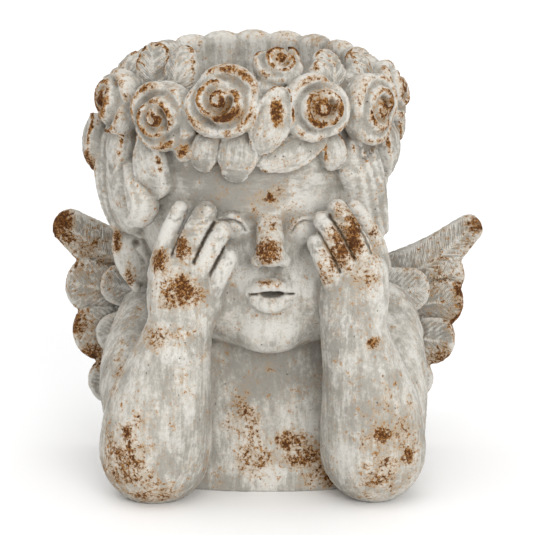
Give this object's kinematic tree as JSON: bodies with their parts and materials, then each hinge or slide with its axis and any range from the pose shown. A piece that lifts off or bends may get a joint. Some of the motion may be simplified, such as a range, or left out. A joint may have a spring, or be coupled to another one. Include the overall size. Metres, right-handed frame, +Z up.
{
  "type": "cupid head planter",
  "caption": "Cast planter in the shape of a winged child's head with its hands over its eyes, a wreath of roses and an open round bowl in the crown.",
  "frame": {"origin": "centre of the bounding box on the ground plane the planter stands on", "axes": "+Z up, the face looks along -Y, and the viewer's right is +X"},
  "size_m": [0.2654, 0.2006, 0.2603],
  "materials": {
    "cast_stone": "cast cement, chalky grey-white with fine brushed streaks, small dark pits and rust-brown speckled patches"
  },
  "bodies": {
    "root": {"cupid_planter": "cast_stone"}
  },
  "joints": []
}
